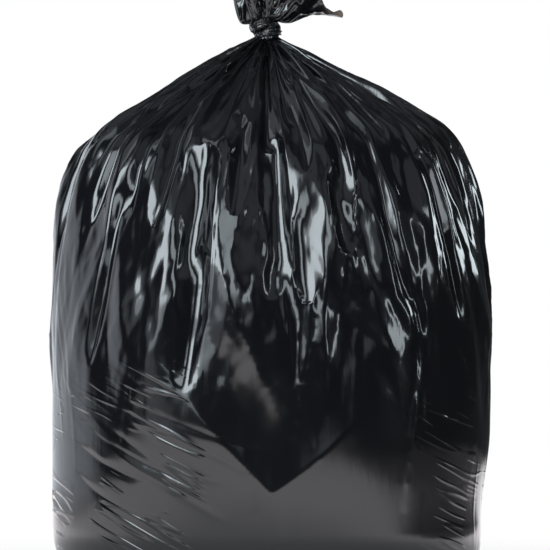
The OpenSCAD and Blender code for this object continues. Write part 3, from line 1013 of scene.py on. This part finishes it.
def studio():
    """White all round for the camera. Reflections see a white backdrop behind and to the left,
    and a dim room with paler walls in front."""
    world = bpy.data.worlds.new("studio")
    scene.world = world
    world.use_nodes = True
    tree = world.node_tree
    tree.nodes.clear()
    place = add(tree, "ShaderNodeTexCoord")
    level = ROOM_LEVEL
    height = add(tree, "ShaderNodeSeparateXYZ", links={"Vector": place.outputs["Generated"]})
    for direction, start, full, top, radiance in PANELS:
        towards = add(tree, "ShaderNodeVectorMath", {"operation": "DOT_PRODUCT", 1: direction},
                      {0: place.outputs["Generated"]})
        patch = add(tree, "ShaderNodeMapRange", {"From Min": start, "From Max": full,
                    "To Max": radiance, "interpolation_type": "SMOOTHSTEP"},
                    {"Value": towards.outputs["Value"]})
        below = add(tree, "ShaderNodeMapRange", {"From Min": 0.5 * top, "From Max": top,
                    "To Min": 1.0, "To Max": 0.0, "interpolation_type": "SMOOTHSTEP"},
                    {"Value": height.outputs["Z"]})
        cut = add(tree, "ShaderNodeMath", {"operation": "MULTIPLY"},
                  {0: patch.outputs["Result"], 1: below.outputs["Result"]})
        total = add(tree, "ShaderNodeMath", {"operation": "ADD"}, {0: cut.outputs["Value"]})
        if isinstance(level, float):
            total.inputs[1].default_value = level
        else:
            tree.links.new(level, total.inputs[1])
        level = total.outputs["Value"]
    light = add(tree, "ShaderNodeLightPath")
    room = add(tree, "ShaderNodeBackground", {"Color": ROOM_TINT}, {"Strength": level})
    soft = add(tree, "ShaderNodeBackground", {"Color": (1, 1, 1, 1), "Strength": DIFFUSE_LEVEL})
    white = add(tree, "ShaderNodeBackground", {"Color": (1, 1, 1, 1), "Strength": 1.0})
    glossy = add(tree, "ShaderNodeMixShader", links={0: light.outputs["Is Glossy Ray"],
                 1: soft.outputs["Background"], 2: room.outputs["Background"]})
    seen = add(tree, "ShaderNodeMath", {"operation": "MAXIMUM"},
               {0: light.outputs["Is Camera Ray"], 1: light.outputs["Is Transmission Ray"]})
    both = add(tree, "ShaderNodeMixShader", links={0: seen.outputs["Value"],
               1: glossy.outputs["Shader"], 2: white.outputs["Background"]})
    add(tree, "ShaderNodeOutputWorld", links={"Surface": both.outputs["Shader"]})


# %% [markdown]
# The floor is white paper, and it does two things. It takes a soft shadow close to the bag, and
# fades to pure white further away so that no edge shows. And the lower half of the bag mirrors it,
# through a glow that only reflections see and that is painted: painted shade close by, where the
# bag would shade it, bright further out, and dim again where the paper ends and on the right.

# %% The floor
FLOOR_R = 1.7  # metres, as are the distances from the bag below
PAPER = (0.9, 0.9, 0.9, 1)
PAPER_FADE = (0.25, 0.9)  # the camera sees it half as paper up to here, and pure white from there
MIRROR_NEAR = (0.3, 0.8)  # the glow that the film mirrors is painted dark closer in, for the bag's shade, and bright from here to here
MIRROR_FAR = (1.3, 1.65)  # and dim again
MIRROR_RIGHT = (0.70, 0.85)  # and its glow is painted dim on the right, where no light falls on it
MIRROR_LEVEL = 1.6
MIRROR_TINT = (1.0, 0.97, 1.0, 1)  # takes the green out of the low reflections


def white_paper():
    """White paper, with what the camera and the film each see of it; the film sees a glow with
    painted shade.
    """
    material = bpy.data.materials.new("white_floor")
    material.use_nodes = True
    tree = material.node_tree
    tree.nodes.clear()
    paper = add(tree, "ShaderNodeBsdfDiffuse", {"Color": PAPER})
    glow = add(tree, "ShaderNodeEmission", {"Color": (1, 1, 1, 1), "Strength": 1.0})
    light = add(tree, "ShaderNodeLightPath")
    place = add(tree, "ShaderNodeTexCoord")
    away = add(tree, "ShaderNodeVectorMath", {"operation": "LENGTH"}, {0: place.outputs["Object"]})
    white = add(tree, "ShaderNodeMapRange", {"From Min": PAPER_FADE[0],
                "From Max": PAPER_FADE[1], "To Min": 0.5, "interpolation_type": "SMOOTHSTEP"},
                {"Value": away.outputs["Value"]})
    far = add(tree, "ShaderNodeMapRange", {"From Min": MIRROR_FAR[0],
              "From Max": MIRROR_FAR[1], "To Min": 1.0, "To Max": 0.1,
              "interpolation_type": "SMOOTHSTEP"}, {"Value": away.outputs["Value"]})
    side = add(tree, "ShaderNodeSeparateXYZ", links={"Vector": place.outputs["Object"]})
    # painted shade: the mirrored glow is dimmed on the right
    shade = add(tree, "ShaderNodeMapRange", {"From Min": MIRROR_RIGHT[0],
                "From Max": MIRROR_RIGHT[1], "To Min": 1.0, "To Max": 0.12,
                "interpolation_type": "SMOOTHSTEP"}, {"Value": side.outputs["X"]})
    # painted shade: the mirrored glow is dimmed close to the bag, as if the bag shaded it
    close = add(tree, "ShaderNodeMapRange", {"From Min": MIRROR_NEAR[0],
                "From Max": MIRROR_NEAR[1], "To Min": 0.25, "interpolation_type": "SMOOTHSTEP"},
                {"Value": away.outputs["Value"]})
    sides = add(tree, "ShaderNodeMath", {"operation": "MULTIPLY"},
                {0: far.outputs["Result"], 1: shade.outputs["Result"]})
    dim = add(tree, "ShaderNodeMath", {"operation": "MULTIPLY"},
              {0: sides.outputs["Value"], 1: close.outputs["Result"]})
    bright = add(tree, "ShaderNodeMath", {"operation": "MULTIPLY", 1: MIRROR_LEVEL},
                 {0: dim.outputs["Value"]})
    mirrored = add(tree, "ShaderNodeMath", {"operation": "MULTIPLY"},
                   {0: light.outputs["Is Glossy Ray"], 1: bright.outputs["Value"]})
    strength = add(tree, "ShaderNodeMath", {"operation": "ADD"},
                   {0: light.outputs["Is Camera Ray"], 1: mirrored.outputs["Value"]})
    tree.links.new(strength.outputs["Value"], glow.inputs["Strength"])
    hue = add(tree, "ShaderNodeMix", {"data_type": "RGBA"})
    hue.inputs["A"].default_value = (1, 1, 1, 1)
    hue.inputs["B"].default_value = MIRROR_TINT
    tree.links.new(light.outputs["Is Glossy Ray"], hue.inputs["Factor"])
    tree.links.new(hue.outputs["Result"], glow.inputs["Color"])
    seen = add(tree, "ShaderNodeMath", {"operation": "MAXIMUM"},
               {0: light.outputs["Is Camera Ray"], 1: light.outputs["Is Glossy Ray"]})
    share = add(tree, "ShaderNodeMath", {"operation": "MULTIPLY"},
                {0: seen.outputs["Value"], 1: white.outputs["Result"]})
    both = add(tree, "ShaderNodeMixShader", links={0: share.outputs["Value"],
               1: paper.outputs["BSDF"], 2: glow.outputs["Emission"]})
    add(tree, "ShaderNodeOutputMaterial", links={"Surface": both.outputs["Shader"]})
    return material


def floor():
    """A round sheet of paper under the bag, which is no part of it."""
    mesh = bpy.data.meshes.new("floor")
    turn = np.radians(np.arange(0, 360, 3))
    rim = [(FLOOR_R * math.cos(a), FLOOR_R * math.sin(a), 0) for a in turn]
    mesh.from_pydata(rim, [], [tuple(range(len(rim)))])
    mesh.materials.append(white_paper())
    piece = bpy.data.objects.new("floor", mesh)
    scene.collection.objects.link(piece)
    print("floor", 2 * FLOOR_R, "m across")


# %% Soft boxes
LAMP_TINT = (0.84, 0.95, 1.0)  # a little blue, as the bright facets are
AIM = Vector((0, 0, 0.35))  # the middle of the bag


def softbox(name, azimuth, elevation, distance, size, radiance):
    """A flat soft light that faces the bag. Azimuth is from the front, + to the right."""
    light = bpy.data.lights.new(name, "AREA")
    light.color = LAMP_TINT
    light.shape = "RECTANGLE"
    light.size, light.size_y = size
    light.energy = radiance * math.pi * size[0] * size[1]
    lamp = bpy.data.objects.new(name, light)
    a, e = math.radians(azimuth), math.radians(elevation)
    way = Vector((math.sin(a) * math.cos(e), -math.cos(a) * math.cos(e), math.sin(e)))
    lamp.location = AIM + way * distance
    lamp.rotation_euler = way.to_track_quat("Z", "Y").to_euler()
    lamp.visible_camera = False
    scene.collection.objects.link(lamp)
    print("soft box", name, "at", azimuth, "degrees,", round(light.energy, 1), "W")


studio()
floor()
softbox("key", -40, 24, 2.2, (1.1, 1.4), 6.5)
softbox("key_spill", -38, 20, 2.3, (1.5, 2.1), 2)  # softens the edge of the key light
softbox("front_right", 6, 20, 2.4, (0.6, 1.3), 4)
softbox("rim_right", 114, 18, 2.2, (0.5, 0.9), 7)
softbox("strip_right", 60, 12, 2.4, (0.22, 1.2), 6)
softbox("top_left", -80, 50, 2.2, (0.5, 1.2), 1)

# %% [markdown]
# The camera stands level with the middle of the bag. It is well back and has a long lens, because
# the bag shows hardly any perspective. The lens follows from how wide a view it has to take in.

# %% The camera
FRAMED = 580 * MM  # what the picture's width spans at the bag
DISTANCE = 3.0
LEVEL = 348 * MM
ASIDE = 4.5 * MM  # the bag stands a little left of the picture's middle
camera = bpy.data.cameras.new("camera")
camera.lens = camera.sensor_width * DISTANCE / FRAMED
holder = bpy.data.objects.new("camera", camera)
holder.location = (ASIDE, -DISTANCE, LEVEL)
holder.rotation_euler = (math.radians(90), 0, 0)
scene.collection.objects.link(holder)
scene.camera = holder
print("lens", round(camera.lens), "mm")
